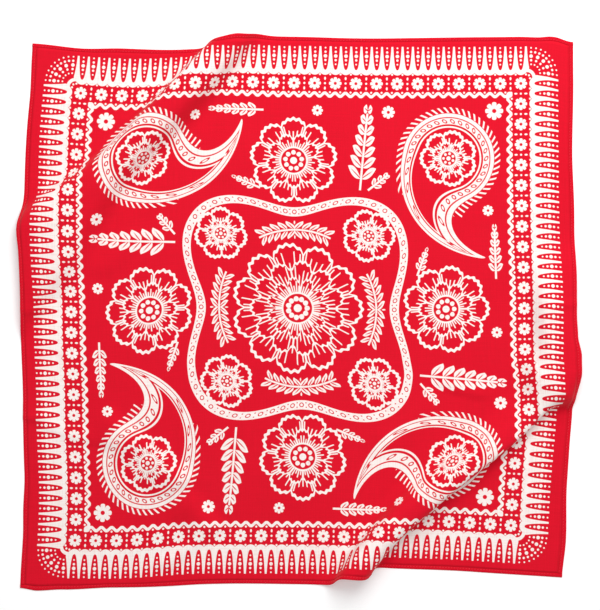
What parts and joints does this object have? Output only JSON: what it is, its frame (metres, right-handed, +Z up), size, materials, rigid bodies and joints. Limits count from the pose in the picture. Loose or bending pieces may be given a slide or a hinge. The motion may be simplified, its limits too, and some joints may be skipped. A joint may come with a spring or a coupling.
{
  "type": "bandana",
  "caption": "Square printed cotton bandana with narrow turned hems, laid flat on a surface with two loose folds across opposite corners.",
  "frame": {"origin": "middle of the cloth's outline seen from above, on the surface that it lies on", "axes": "+Z up from the surface, +X to the right of the print and +Y to its top as seen from above"},
  "size_m": [0.562, 0.5548, 0.0263],
  "materials": {
    "printed_cotton": "matt printed plain-weave cotton, red with white line print",
    "hem_cotton": "matt plain-weave cotton, three layers, with one row of red stitching"
  },
  "bodies": {
    "root": {"panel": "printed_cotton", "hem_top": "hem_cotton", "hem_bottom": "hem_cotton", "hem_left": "hem_cotton", "hem_right": "hem_cotton"}
  },
  "joints": []
}
